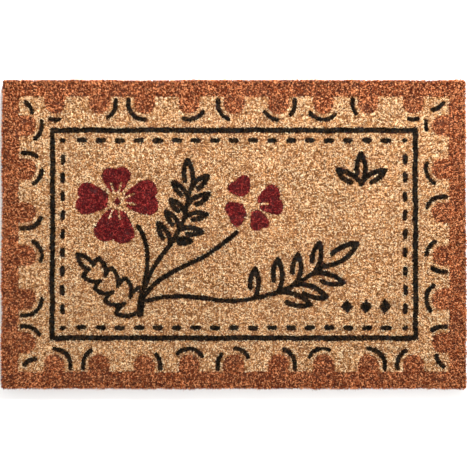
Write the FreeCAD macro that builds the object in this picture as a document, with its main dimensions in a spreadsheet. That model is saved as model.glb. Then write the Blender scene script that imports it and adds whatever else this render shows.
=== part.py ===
import FreeCAD, Part
import math
import os

from FreeCAD import Placement, Rotation, Vector

import Sketcher

# A hand-woven coir door mat: dyed pile standing on a woven backing of coir yarns, whose four
# sides are finished with flat braids sewn on with twine.  Millimetres; X runs along the mat, Y
# across it and Z up.  The origin is the middle of the underside.

SIZES = (
    ("mat_length", 914.4, "pile, along X"),
    ("mat_width", 609.6, "pile, along Y"),
    ("mat_height", 32.0, "floor to the sheared top of the pile"),
    ("corner_radius", 7.0, "pile, seen from above"),
    ("nap_rounding", 4.0, "top outer edge of the pile"),
    ("dye_gap", 0.2, "between pile areas of two colours"),
    ("band_width", 35.0, "brown band, outer edge to the scallops' feet"),
    ("lobe_radius", 20.5, "scallop"),
    ("lobe_straight", 13.5, "scallop, foot to the middle of its round end"),
    ("lobe_pitch", 84.0, "smallest spacing of the scallops"),
    ("end_space_along", 70.2, "long side, band's inner corner to the first scallop's middle"),
    ("end_space_across", 57.3, "short side, band's inner corner to the first scallop's middle"),
    ("accent_stroke", 9.0, "width of the strokes round the scallops"),
    ("accent_offset", 11.0, "scallop's outline to the stroke's middle"),
    ("frame_margin", 66.0, "band's inner edge to the middle of the frame line"),
    ("frame_stroke", 10.4, "width of the frame line"),
    ("dash_inset", 20.0, "middle of the frame line to the middle of the dashes"),
    ("dash_length", 21.0, "dash"),
    ("dash_stroke", 9.6, "width of a dash"),
    ("dash_pitch", 36.0, "smallest spacing of the dashes"),
    ("print_length", 662.4, "area the flowers and sprigs were drawn for, along X"),
    ("print_width", 357.6, "area the flowers and sprigs were drawn for, along Y"),
    ("stem_stroke", 9.2, "width of the stems"),
    ("leaf_stroke", 10.2, "width of the leaf outlines"),
    ("root_stroke", 15.0, "width where all stems meet"),
    ("slit_width", 4.2, "undyed slits in the petals"),
    ("slit_length", 17.0, "undyed slits in the petals"),
    ("weft_radius", 2.0, "backing yarns across the mat"),
    ("weft_pitch", 10.9, "largest spacing of the yarns across the mat"),
    ("chain_radius", 1.5, "backing yarns along the mat"),
    ("chain_pitch", 24.0, "largest spacing of the yarns along the mat"),
    ("yarn_gap", 0.1, "between yarns that cross, and under the pile"),
    ("floor_gap", 0.3, "braids' underside to the lowest yarns"),
    ("braid_inset", 5.0, "pile's side to the braid's outer side"),
    ("braid_width", 14.0, "edge braid"),
    ("braid_height", 8.4, "edge braid"),
    ("braid_rounding", 2.0, "edge braid's long edges"),
    ("braid_gap", 0.4, "between a braid and the yarns' ends or the next braid"),
    ("twine_radius", 0.75, "sewing twine"),
    ("twine_gap", 0.15, "between the twine and what it holds"),
    ("twine_bend", 1.6, "twine's bend radius at a stitch's corners"),
    ("stitch_slack", 1.0, "between a stitch and the yarn it holds, sideways"),
)

# Sizes that follow from others, as expressions of the sheet.
OPENING_LENGTH = "(sizes.mat_length - 2 * sizes.band_width)"
OPENING_WIDTH = "(sizes.mat_width - 2 * sizes.band_width)"
LOBE_SPAN_ALONG = f"({OPENING_LENGTH} - 2 * sizes.end_space_along)"
LOBE_SPAN_ACROSS = f"({OPENING_WIDTH} - 2 * sizes.end_space_across)"
LOBES_ALONG = f"(floor({LOBE_SPAN_ALONG} / sizes.lobe_pitch) + 1)"
LOBES_ACROSS = f"(floor({LOBE_SPAN_ACROSS} / sizes.lobe_pitch) + 1)"
FRAME_LENGTH = f"({OPENING_LENGTH} - 2 * sizes.frame_margin)"
FRAME_WIDTH = f"({OPENING_WIDTH} - 2 * sizes.frame_margin)"
DASH_SPAN_ALONG = f"({FRAME_LENGTH} - 2 * sizes.dash_inset)"
DASH_SPAN_ACROSS = f"({FRAME_WIDTH} - 2 * sizes.dash_inset)"
DASHES_ALONG = f"(floor({DASH_SPAN_ALONG} / sizes.dash_pitch) + 1)"
DASHES_ACROSS = f"(floor({DASH_SPAN_ACROSS} / sizes.dash_pitch) + 1)"
YARN_SWING = "(sizes.weft_radius + sizes.yarn_gap + sizes.chain_radius)"
WEFT_HEIGHT = f"(sizes.floor_gap + sizes.chain_radius + {YARN_SWING})"
YARN_TOP = f"({WEFT_HEIGHT} + {YARN_SWING} + sizes.chain_radius)"
STITCH_INSIDE = f"max(sizes.braid_height; {WEFT_HEIGHT} + sizes.weft_radius)"
STITCH_TOP = f"({STITCH_INSIDE} + sizes.twine_gap + 2 * sizes.twine_radius)"
PILE_FOOT = f"(max({YARN_TOP}; {STITCH_TOP}) + sizes.yarn_gap)"
PILE_DEPTH = f"(sizes.mat_height - {PILE_FOOT})"
BRAID_REACH = "(sizes.braid_inset + sizes.braid_width + sizes.braid_gap)"
BACKING_LENGTH = f"(sizes.mat_length - 2 * {BRAID_REACH})"
BACKING_WIDTH = f"(sizes.mat_width - 2 * {BRAID_REACH})"
END_BRAID_LENGTH = "(sizes.mat_length - 2 * sizes.braid_inset)"
GROOVE_SIZE = "(2 * sizes.twine_radius + 2 * sizes.twine_gap)"

# Strokes round a scallop: where each starts and ends, in degrees from the scallop's tip.  One
# that reaches 90 goes on up the scallop's straight side, and its round end stops STROKE_FOOT
# short of the band.  The list repeats round the mat, and a side's first and last scallops keep
# their strokes CORNER_REACH clear of the corner beside them.
CORNER_REACH = 15
STROKE_FOOT = 1.5
ACCENTS = (
    ((0, 90),),
    ((-90, -30),),
    ((50, 90),),
    ((-45, 55),),
    ((-90, -50), (5, 60)),
    ((20, 90),),
    ((-60, 20),),
)

# Closer than this, two marks touch.
TOUCHING = 1e-6

# Middles of the two flowers, in the area that the motifs are drawn for.
LARGE_FLOWER = (-229, 64)
SMALL_FLOWER = (37, 57)

doc = FreeCAD.newDocument("coir_door_mat")
sheet = doc.addObject("Spreadsheet::Sheet", "sizes")
parts = []


def fill_sheet():
    """Write each size with its alias and its note."""
    for row, (alias, number, note) in enumerate(SIZES, 1):
        sheet.set(f"A{row}", alias)
        sheet.set(f"B{row}", str(number))
        sheet.set(f"C{row}", note)
        sheet.setAlias(f"B{row}", alias)
    doc.recompute()


def value(expression):
    """Give an expression of the sheet as a number."""
    return float(sheet.evalExpression(expression))


def size(alias):
    """Give one size of the sheet as a number."""
    return value(f"sizes.{alias}")


def register(piece, label):
    """Name a sub-part and keep it for the export."""
    piece.Label = label
    parts.append(piece)
    return piece


def feature(label, shape):
    """Make a sub-part from a shape worked out in code."""
    piece = doc.addObject("Part::Feature", label)
    piece.Shape = shape
    return register(piece, label)


# ---- sketches ---------------------------------------------------------------------------------


def origin_part(body, role):
    """Find a plane or an axis of a body's own origin."""
    return next(f for f in body.Origin.OriginFeatures if getattr(f, "Role", "") == role)


def new_sketch(body, name, lift=None):
    """Attach an empty sketch to a body's XY plane, lifted by an expression."""
    sketch = body.newObject("Sketcher::SketchObject", name)
    sketch.AttachmentSupport = [(origin_part(body, "XY_Plane"), "")]
    sketch.MapMode = "FlatFace"
    if lift:
        sketch.setExpression("AttachmentOffset.Base.z", lift)
    return sketch


def bind(sketch, constraint, name, expression):
    """Add a dimension to a sketch and bind it to an expression."""
    index = sketch.addConstraint(constraint)
    sketch.renameConstraint(index, name)
    sketch.setExpression(f"Constraints.{name}", expression)


def add_rectangle(sketch, name, length, width):
    """Draw a rectangle about the sketch's origin."""
    across = Vector(value(length) / 2, 0)
    up = Vector(0, value(width) / 2)
    corners = [-across - up, across - up, across + up, up - across]
    lines = [Part.LineSegment(corners[i], corners[(i + 1) % 4]) for i in range(4)]
    first = sketch.addGeometry(lines, False)[0]
    for i in range(4):
        following = first + (i + 1) % 4
        sketch.addConstraint(Sketcher.Constraint("Coincident", first + i, 2, following, 1))
    for i in (0, 2):
        sketch.addConstraint(Sketcher.Constraint("Horizontal", first + i))
        sketch.addConstraint(Sketcher.Constraint("Vertical", first + i + 1))
    sketch.addConstraint(Sketcher.Constraint("Symmetric", first, 1, first + 2, 1, -1, 1))
    for line, letter, expression in ((first, "X", length), (first + 1, "Y", width)):
        distance = Sketcher.Constraint(f"Distance{letter}", line, 1, line, 2, value(expression))
        bind(sketch, distance, f"{name}_along_{letter}", expression)


def add_slot(sketch, name, start, end, radius):
    """Draw a slot between two middles, each a pair of expressions for X and Y."""
    ends = [Vector(value(x), value(y)) for x, y in (start, end)]
    reach = value(radius)
    lean = math.atan2(ends[1].y - ends[0].y, ends[1].x - ends[0].x)
    side = Vector(-math.sin(lean), math.cos(lean)) * reach
    up = Vector(0, 0, 1)
    shapes = [
        Part.ArcOfCircle(Part.Circle(ends[0], up, reach), lean + math.pi / 2, lean + 1.5 * math.pi),
        Part.LineSegment(ends[0] - side, ends[1] - side),
        Part.ArcOfCircle(Part.Circle(ends[1], up, reach), lean - math.pi / 2, lean + math.pi / 2),
        Part.LineSegment(ends[1] + side, ends[0] + side),
    ]
    first = sketch.addGeometry(shapes, False)[0]
    for i in range(4):
        sketch.addConstraint(Sketcher.Constraint("Tangent", first + i, 2, first + (i + 1) % 4, 1))
    sketch.addConstraint(Sketcher.Constraint("Equal", first, first + 2))
    bind(sketch, Sketcher.Constraint("Radius", first, reach), f"{name}_radius", radius)
    for which, (place, (x, y)) in enumerate(zip(ends, (start, end))):
        arc = first + 2 * which
        for letter, number, expression in (("X", place.x, x), ("Y", place.y, y)):
            distance = Sketcher.Constraint(f"Distance{letter}", -1, 1, arc, 3, number)
            bind(sketch, distance, f"{name}_middle{letter}_{which + 1}", expression)


def pad(body, sketch, length):
    """Pad a sketch upwards."""
    solid = body.newObject("PartDesign::Pad", f"{sketch.Name}_pad")
    solid.Profile = sketch
    solid.setExpression("Length", length)
    doc.recompute()
    return solid


def pocket_up(body, sketch, depth):
    """Pocket a sketch upwards, and make sure that it took something away."""
    before = body.Shape.Volume
    hole = body.newObject("PartDesign::Pocket", f"{sketch.Name}_pocket")
    hole.Profile = sketch
    hole.Reversed = True
    hole.setExpression("Length", depth)
    doc.recompute()
    if not body.Shape.Volume < before - 1:
        raise RuntimeError(f"{hole.Name} cuts nothing")
    return hole


def pattern(body, original, axis, span, count):
    """Repeat a feature along one of the body's axes."""
    row = body.newObject("PartDesign::LinearPattern", f"{original.Name}_row")
    row.Originals = [original]
    row.Direction = (origin_part(body, axis), [""])
    row.setExpression("Length", span)
    row.setExpression("Occurrences", count)
    body.Tip = row
    doc.recompute()
    return row


def fillet(body, base, edges, radius):
    """Round the named edges of a feature."""
    rounding = body.newObject("PartDesign::Fillet", f"{base.Name}_fillet")
    rounding.Base = (base, edges)
    rounding.setExpression("Radius", radius)
    doc.recompute()
    return rounding


def edge_names(shape, wanted):
    """Name the edges whose middle point passes a test."""
    names = []
    for index, edge in enumerate(shape.Edges, 1):
        middle = edge.valueAt((edge.FirstParameter + edge.LastParameter) / 2)
        if wanted(middle, edge):
            names.append(f"Edge{index}")
    return names


# ---- pile: band, margin, frame line and field -------------------------------------------------


def lobe_sketches(body, growth):
    """Sketch the first scallop of each side, wider all round by growth."""
    radius = f"sizes.lobe_radius + {growth}"
    x_start = f"-{LOBE_SPAN_ALONG} / 2"
    y_start = f"-{LOBE_SPAN_ACROSS} / 2"
    along = new_sketch(body, f"{body.Name}_lobes_along", lift=PILE_FOOT)
    across = new_sketch(body, f"{body.Name}_lobes_across", lift=PILE_FOOT)
    for name, sign in (("low", "-"), ("high", "")):
        foot_y = f"{sign}{OPENING_WIDTH} / 2"
        foot_x = f"{sign}{OPENING_LENGTH} / 2"
        tip_y = f"{sign}({OPENING_WIDTH} / 2 - sizes.lobe_straight)"
        tip_x = f"{sign}({OPENING_LENGTH} / 2 - sizes.lobe_straight)"
        add_slot(along, name, (x_start, foot_y), (x_start, tip_y), radius)
        add_slot(across, name, (foot_x, y_start), (tip_x, y_start), radius)
    return along, across


def make_border():
    """Brown band round the mat, scalloped inwards, with rounded outer corners and nap."""
    body = doc.addObject("PartDesign::Body", "border_pile")
    ring = new_sketch(body, "border_ring", lift=PILE_FOOT)
    add_rectangle(ring, "outer", "sizes.mat_length", "sizes.mat_width")
    add_rectangle(ring, "inner", OPENING_LENGTH, OPENING_WIDTH)
    band = pad(body, ring, PILE_DEPTH)
    half_x = size("mat_length") / 2
    half_y = size("mat_width") / 2

    def outer_corner(middle, _):
        return abs(abs(middle.x) - half_x) < 1e-3 and abs(abs(middle.y) - half_y) < 1e-3

    corners = fillet(body, band, edge_names(band.Shape, outer_corner), "sizes.corner_radius")

    def outer_top(middle, _):
        beyond_x = abs(middle.x) > half_x - size("corner_radius")
        beyond_y = abs(middle.y) > half_y - size("corner_radius")
        return (beyond_x or beyond_y) and abs(middle.z - size("mat_height")) < 1e-3

    fillet(body, corners, edge_names(corners.Shape, outer_top), "sizes.nap_rounding")
    along, across = lobe_sketches(body, "0")
    pattern(body, pad(body, along, PILE_DEPTH), "X_Axis", LOBE_SPAN_ALONG, LOBES_ALONG)
    pattern(body, pad(body, across, PILE_DEPTH), "Y_Axis", LOBE_SPAN_ACROSS, LOBES_ACROSS)
    return register(body, "border_pile")


def make_frame_line():
    """Black rectangle between the margin and the field."""
    body = doc.addObject("PartDesign::Body", "frame_line_pile")
    ring = new_sketch(body, "frame_ring", lift=PILE_FOOT)
    for name, sign in (("outer", "+"), ("inner", "-")):
        stroke = f"{sign} sizes.frame_stroke"
        add_rectangle(ring, name, f"{FRAME_LENGTH} {stroke}", f"{FRAME_WIDTH} {stroke}")
    pad(body, ring, PILE_DEPTH)
    return register(body, "frame_line_pile")


def make_margin(accents_space):
    """Undyed pile between the scallops and the frame line, less the strokes in it."""
    body = doc.addObject("PartDesign::Body", "margin_blank")
    ring = new_sketch(body, "margin_ring", lift=PILE_FOOT)
    inset = "2 * sizes.dye_gap"
    add_rectangle(ring, "outer", f"{OPENING_LENGTH} - {inset}", f"{OPENING_WIDTH} - {inset}")
    reach = f"sizes.frame_stroke + {inset}"
    add_rectangle(ring, "inner", f"{FRAME_LENGTH} + {reach}", f"{FRAME_WIDTH} + {reach}")
    pad(body, ring, PILE_DEPTH)
    along, across = lobe_sketches(body, "sizes.dye_gap")
    pattern(body, pocket_up(body, along, PILE_DEPTH), "X_Axis", LOBE_SPAN_ALONG, LOBES_ALONG)
    pattern(body, pocket_up(body, across, PILE_DEPTH), "Y_Axis", LOBE_SPAN_ACROSS, LOBES_ACROSS)
    cut = doc.addObject("Part::Cut", "margin_pile")
    cut.Base = body
    cut.Tool = accents_space
    return register(cut, "margin_pile")


def make_field(spaces):
    """Undyed pile inside the frame line, less every dyed mark in it."""
    blank = doc.addObject("Part::Box", "field_blank")
    reach = "sizes.frame_stroke - 2 * sizes.dye_gap"
    blank.setExpression("Length", f"{FRAME_LENGTH} - {reach}")
    blank.setExpression("Width", f"{FRAME_WIDTH} - {reach}")
    blank.setExpression("Height", PILE_DEPTH)
    blank.setExpression("Placement.Base.x", "-Length / 2")
    blank.setExpression("Placement.Base.y", "-Width / 2")
    blank.setExpression("Placement.Base.z", PILE_FOOT)
    rest = blank
    for space in spaces:
        cut = doc.addObject("Part::Cut", f"field_less_{space.Name}")
        cut.Base = rest
        cut.Tool = space
        rest = cut
    return register(rest, "field_pile")


# ---- pile: dyed marks -------------------------------------------------------------------------


def raise_pile(faces):
    """Turn flat shapes into one block of pile, joined where they touch."""
    foot = value(PILE_FOOT)
    depth = value(PILE_DEPTH)
    solids = [face.extrude(Vector(0, 0, depth)).translated(Vector(0, 0, foot)) for face in faces]
    return solids[0] if len(solids) == 1 else solids[0].fuse(solids[1:]).removeSplitter()


def ribbon(edges, width):
    """Widen a path to a flat stroke with round ends."""
    return Part.Wire(edges).makeOffset2D(width / 2, 0, True)


def bar(start, end, width):
    """Give a straight flat stroke with round ends."""
    way = (end - start).normalize()
    side = Vector(-way.y, way.x, 0) * (width / 2)
    cap = way * (width / 2)
    edges = [
        Part.LineSegment(start - side, end - side).toShape(),
        Part.Arc(end - side, end + cap, end + side).toShape(),
        Part.LineSegment(end + side, start + side).toShape(),
        Part.Arc(start + side, start - cap, start - side).toShape(),
    ]
    return Part.Face(Part.Wire(edges))


def smooth(points):
    """Give a smooth curve through points."""
    curve = Part.BSplineCurve()
    curve.interpolate([Vector(*point) for point in points])
    return curve


def along(curve, share):
    """Give the place and the sideways direction at a share of a flat curve."""
    parameter = curve.FirstParameter + share * (curve.LastParameter - curve.FirstParameter)
    way = curve.tangent(parameter)[0]
    return curve.value(parameter), Vector(-way.y, way.x, 0)


def smooth_stroke(points, width):
    """Widen a smooth curve through flat points to a stroke with round ends."""
    curve = smooth([(x, y, 0) for x, y in points])
    steps = 4 * (len(points) - 1)
    spine = [along(curve, step / steps) for step in range(steps + 1)]
    left = [place + side * (width / 2) for place, side in spine]
    right = [place - side * (width / 2) for place, side in spine]
    caps = []
    for (place, side), turn in ((spine[-1], 1), (spine[0], -1)):
        caps.append(place + Vector(side.y, -side.x, 0) * (turn * width / 2))
    edges = [
        smooth(left).toShape(),
        Part.Arc(left[-1], caps[0], right[-1]).toShape(),
        smooth(right[::-1]).toShape(),
        Part.Arc(right[0], caps[1], left[0]).toShape(),
    ]
    return Part.Face(Part.Wire(edges))


def placed(shape, x, y, degrees):
    """Turn and move a flat shape."""
    turned = shape.copy()
    turned.rotate(Vector(0, 0, 0), Vector(0, 0, 1), degrees)
    return turned.translated(Vector(x, y, 0))


def polar(distance, degrees):
    """Give a flat vector from its length and direction."""
    angle = math.radians(degrees)
    return Vector(distance * math.cos(angle), distance * math.sin(angle), 0)


def accent_stroke(start, end, width):
    """One stroke round a scallop that stands on the X axis and points along +Y."""
    radius = size("lobe_radius") + size("accent_offset")
    middle = Vector(0, size("lobe_straight"), 0)
    points = [middle + polar(radius, 90 - angle) for angle in (start, (start + end) / 2, end)]
    edges = [Part.Arc(*points).toShape()]
    end_height = size("accent_stroke") / 2 + STROKE_FOOT
    if start == -90:
        edges.insert(0, Part.LineSegment(Vector(points[0].x, end_height, 0), points[0]).toShape())
    if end == 90:
        edges.append(Part.LineSegment(points[2], Vector(points[2].x, end_height, 0)).toShape())
    return ribbon(edges, width)


def corner_mark(width):
    """Short bent stroke in a corner of the margin, which is at the origin."""
    bend = Part.Arc(Vector(11, 12, 0), Vector(18, 20, 0), Vector(31, 25, 0))
    return ribbon([bend.toShape()], width)


def lobe_feet():
    """Give each scallop's foot, the turn from +Y to where it points, and its strokes' range."""
    long_side = (round(value(LOBES_ALONG)), value(LOBE_SPAN_ALONG), value(OPENING_WIDTH) / 2)
    short_side = (round(value(LOBES_ACROSS)), value(LOBE_SPAN_ACROSS), value(OPENING_LENGTH) / 2)
    for side, degrees in ((long_side, 0), (short_side, 90), (long_side, 180), (short_side, 270)):
        count, span, distance = side
        way = polar(1, degrees)
        out = polar(distance, degrees - 90)
        for i in range(count):
            foot = out + way * (span * (i / (count - 1) - 0.5))
            lowest = -CORNER_REACH if i == 0 else -90
            highest = CORNER_REACH if i == count - 1 else 90
            yield foot.x, foot.y, degrees, lowest, highest


def accents(growth):
    """All strokes round the scallops and in the corners."""
    width = size("accent_stroke") + 2 * growth
    solids = []
    for number, (x, y, degrees, lowest, highest) in enumerate(lobe_feet()):
        for start, end in ACCENTS[number % len(ACCENTS)]:
            start = min(max(start, lowest), highest - 2 * CORNER_REACH)
            end = max(min(end, highest), lowest + 2 * CORNER_REACH)
            solids.append(raise_pile([placed(accent_stroke(start, end, width), x, y, degrees)]))
    half_x = value(OPENING_LENGTH) / 2
    half_y = value(OPENING_WIDTH) / 2
    for degrees, side_x, side_y in ((0, -1, -1), (90, 1, -1), (180, 1, 1), (270, -1, 1)):
        mark = placed(corner_mark(width), side_x * half_x, side_y * half_y, degrees)
        solids.append(raise_pile([mark]))
    return Part.makeCompound(solids)


def dashes(growth):
    """Row of dashes inside the frame line, with a short one at each corner."""
    span_x = value(DASH_SPAN_ALONG)
    span_y = value(DASH_SPAN_ACROSS)
    steps_x = round(value(DASHES_ALONG)) - 1
    steps_y = round(value(DASHES_ACROSS)) - 1
    stroke = size("dash_stroke") + 2 * growth
    run = size("dash_length") - size("dash_stroke")
    lying = bar(Vector(-run / 2, 0, 0), Vector(run / 2, 0, 0), stroke)
    dot = bar(Vector(-1, 0, 0), Vector(1, 0, 0), stroke)
    solids = []
    for y in (-span_y / 2, span_y / 2):
        for i in range(steps_x + 1):
            mark = dot if i in (0, steps_x) else lying
            solids.append(raise_pile([placed(mark, span_x * (i / steps_x - 0.5), y, 0)]))
    for x in (-span_x / 2, span_x / 2):
        for i in range(1, steps_y):
            solids.append(raise_pile([placed(lying, x, span_y * (i / steps_y - 0.5), 90)]))
    return Part.makeCompound(solids)


def print_scale():
    """Fit the drawn motifs to the field inside the dashes."""
    clear_x = value(DASH_SPAN_ALONG) - size("dash_stroke") - 2 * size("dye_gap")
    clear_y = value(DASH_SPAN_ACROSS) - size("dash_stroke") - 2 * size("dye_gap")
    return min(clear_x / size("print_length"), clear_y / size("print_width"))


def petal(inner, reach, width, slits, growth):
    """A petal along +X with a notched outer edge, and slits from its inner end."""
    shoulder = inner + 0.68 * (reach - inner)
    waist = (inner + shoulder) / 2
    low = Vector(inner, -0.18 * width, 0)
    low_waist = Vector(waist, -0.38 * width, 0)
    low_shoulder = Vector(shoulder, -0.5 * width, 0)
    low_crown = Vector(reach - 0.02 * width, -0.33 * width, 0)
    notch = Vector(reach - 0.06 * width, 0, 0)
    high_crown = Vector(reach, 0.31 * width, 0)
    high_shoulder = Vector(shoulder, 0.5 * width, 0)
    high_waist = Vector(waist, 0.38 * width, 0)
    high = Vector(inner, 0.18 * width, 0)
    edges = [
        Part.Arc(low, low_waist, low_shoulder).toShape(),
        Part.Arc(low_shoulder, low_crown, notch).toShape(),
        Part.Arc(notch, high_crown, high_shoulder).toShape(),
        Part.Arc(high_shoulder, high_waist, high).toShape(),
        Part.LineSegment(high, low).toShape(),
    ]
    face = Part.Face(Part.Wire(edges))
    if growth:
        face = face.makeOffset2D(growth, 0)
    for lean in slits:
        start = Vector(inner - size("slit_width"), 0.2 * lean, 0)
        end = Vector(inner + size("slit_length"), 0.6 * lean, 0)
        slit = bar(start, end, size("slit_width") - 2 * growth)
        face = face.cut(slit).Faces[0]
    return face


def lozenge(points, growth):
    """A flat shape with straight sides and sharp corners."""
    corners = [Vector(x, y, 0) for x, y in points]
    face = Part.Face(Part.makePolygon(corners + corners[:1]))
    return face.makeOffset2D(growth, 2) if growth else face


def large_flower(growth):
    """Four petals and the lozenge in their middle.

    A petal is its direction, inner end, reach, width and the leans of its slits.
    """
    petals = (
        (92, 19, 66, 60, (-16, 18)),
        (7, 17, 79, 73, (-17, 19)),
        (-96, 16, 80, 82, (-20, 16)),
        (174, 18, 79, 64, ()),
    )
    solids = []
    for degrees, inner, reach, width, slits in petals:
        face = petal(inner, reach, width, slits, growth)
        solids.append(raise_pile([placed(face, *LARGE_FLOWER, degrees)]))
    middle = lozenge(((0, -10), (8, -1), (3, 10), (-8, 0)), growth)
    solids.append(raise_pile([placed(middle, *LARGE_FLOWER, 0)]))
    return Part.makeCompound(solids)


def small_flower(growth):
    """Four uneven petals of a flower seen from the side, listed as in large_flower."""
    petals = (
        (124, 24, 60, 50, ()),
        (14, 12, 58, 62, (-8,)),
        (206, 17, 53, 54, ()),
        (290, 12, 50, 38, ()),
    )
    solids = []
    for degrees, inner, reach, width, slits in petals:
        face = petal(inner, reach, width, slits, growth)
        solids.append(raise_pile([placed(face, *SMALL_FLOWER, degrees)]))
    return Part.makeCompound(solids)


def leaf_loop(base, degrees, length, side, width):
    """Outline of a leaf as one stroke: up one side to the tip and part of the way back."""
    bulge = 0.135 * length * side
    tip = Vector(length, 0, 0)
    out = Part.Arc(Vector(0, 0, 0), Vector(0.5 * length, -bulge, 0), tip)
    back = Part.Arc(tip, Vector(0.68 * length, bulge, 0), Vector(0.36 * length, bulge, 0))
    return placed(ribbon([out.toShape(), back.toShape()], width), base.x, base.y, degrees)


def sprig(stem, leaves, growth):
    """A stem with leaf outlines: each leaf is its place on the stem, direction, length and side."""
    width = size("leaf_stroke") + 2 * growth
    curve = smooth([(x, y, 0) for x, y in stem])
    faces = [smooth_stroke(stem, size("stem_stroke") + 2 * growth)]
    for place, degrees, length, side in leaves:
        faces.append(leaf_loop(along(curve, place)[0], degrees, length, side, width))
    return raise_pile(faces)


def upright_sprig(growth):
    """Sprig between the two flowers."""
    stem = ((-177, -118), (-127, -23), (-103, 16), (-93, 53), (-86, 85))
    leaves = (
        (0.50, 121, 47, 1),
        (0.65, 128, 44, 1),
        (0.79, 134, 40, 1),
        (0.93, 133, 42, 1),
        (0.53, 1, 36, -1),
        (0.645, -5, 45, -1),
        (0.755, 9, 45, -1),
        (0.865, 28, 49, -1),
        (0.99, 42, 46, -1),
        (0.99, 94, 62, 1),
    )
    return sprig(stem, leaves, growth)


def right_sprig(growth):
    """Low sprig under the small flower."""
    stem = ((-172, -132), (-107, -122), (-20, -130), (76, -118), (122, -97), (178, -62))
    leaves = (
        (0.58, 88, 58, 1),
        (0.71, 89, 64, 1),
        (0.82, 86, 58, 1),
        (0.935, 81, 58, 1),
        (0.70, -18, 72, -1),
        (0.81, -22, 67, -1),
        (0.92, -16, 64, -1),
        (0.99, 34, 80, 1),
    )
    return sprig(stem, leaves, growth)


def bowed(start, end, bulge):
    """An arc between two places that bows to its left by a share of its length."""
    way = end - start
    middle = (start + end) / 2 + Vector(-way.y, way.x, 0) * bulge
    return Part.Arc(start, middle, end).toShape()


def lobed_leaf(growth):
    """Outline of a leaf with narrow lobes on both sides, which points up and to the left."""
    lobes = 4
    pitch = 32
    longest = 33
    taper = 3.5
    valley = 9
    swell, dip, point = 0.16, 0.10, 0.14
    tip = Vector(166, 0, 0)
    faces = []
    for side in (-1, 1):
        last = Vector(2, 4 * side, 0)
        edges = []
        for number in range(lobes):
            foot = last.x + pitch
            lobe = Vector(foot - 1, side * (longest - taper * number), 0)
            edges.append(bowed(last, lobe, swell * side))
            last = Vector(foot, side * (valley - number), 0)
            edges.append(bowed(lobe, last, dip * side))
        edges.append(bowed(last, tip, point * side))
        faces.append(ribbon(edges, size("stem_stroke") + 2 * growth))
    return raise_pile([placed(face, -184, -152, 138) for face in faces])


def flower_stems(growth):
    """Stems of both flowers and the root where every stem meets."""
    width = size("stem_stroke") + 2 * growth
    tall = ((-189, 14), (-172, -22), (-170, -55), (-175, -92), (-181, -128))
    bent = ((5, 4), (-38, -31), (-87, -58), (-146, -90), (-178, -126))
    return raise_pile([
        smooth_stroke(tall, width),
        smooth_stroke(bent, width),
        bar(Vector(-180, -124, 0), Vector(-184, -156, 0), size("root_stroke") + 2 * growth),
    ])


def upper_ornament(growth):
    """Three leaf outlines fanned out, in the field's upper right corner."""
    width = size("leaf_stroke") + 2 * growth
    base = Vector(250, 98, 0)
    leaves = ((150, 54, 1), (90, 60, 1), (30, 54, -1))
    return raise_pile([leaf_loop(base, *leaf, width) for leaf in leaves])


def lower_ornament(growth):
    """Row of three lozenges, in the field's lower right corner."""
    shape = lozenge(((0, -15), (12, 0), (0, 15), (-12, 0)), growth)
    return Part.makeCompound([raise_pile([placed(shape, x, -142, 0)]) for x in (222, 259, 296)])


def fitted(shape):
    """Scale a motif about the mat's middle so that all motifs fit the field, keeping its depth."""
    share = print_scale()
    matrix = FreeCAD.Matrix()
    matrix.scale(share, share, 1)
    return shape if abs(share - 1) < 1e-6 else shape.transformGeometry(matrix)


def keep_space(label, shape):
    """Keep the slightly larger space that a dyed mark needs in the undyed pile."""
    hollow = doc.addObject("Part::Feature", f"{label}_space")
    hollow.Shape = shape
    return hollow


def make_mark(label, draw):
    """Make a dyed mark that is laid out by the band and the frame line."""
    feature(label, draw(0))
    return keep_space(label, draw(size("dye_gap")))


def make_motifs(motifs):
    """Make the flowers, sprigs and ornaments in turn, each cut back from those before it."""
    taken = []
    spaces = []
    for label, draw in motifs:
        shape = draw(0)
        for space in taken:
            if shape.distToShape(space)[0] < TOUCHING:
                shape = shape.cut(space)
        taken.append(draw(size("dye_gap")))
        feature(label, fitted(shape))
        spaces.append(keep_space(label, fitted(taken[-1])))
    return spaces


# ---- backing: yarns ---------------------------------------------------------------------------


def spread(length, pitch):
    """Spread places evenly along a length, no further apart than a pitch."""
    count = math.ceil(length / pitch - 1e-6)
    step = length / count
    return [-length / 2 + step * (i + 0.5) for i in range(count)], step


def weft_places():
    """Where the yarns across the mat lie, along X, and their spacing."""
    return spread(value(BACKING_LENGTH), size("weft_pitch"))


def chain_places():
    """Where the yarns along the mat lie, along Y, and their spacing."""
    return spread(value(BACKING_WIDTH), size("chain_pitch"))


def make_wefts():
    """Straight yarns across the mat, which the pile is tied round."""
    width = value(BACKING_WIDTH)
    start = Vector(0, -width / 2, value(WEFT_HEIGHT))
    yarns = [
        Part.makeCylinder(size("weft_radius"), width, start + Vector(x, 0, 0), Vector(0, 1, 0))
        for x in weft_places()[0]
    ]
    return feature("weft_yarns", Part.makeCompound(yarns))


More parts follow.
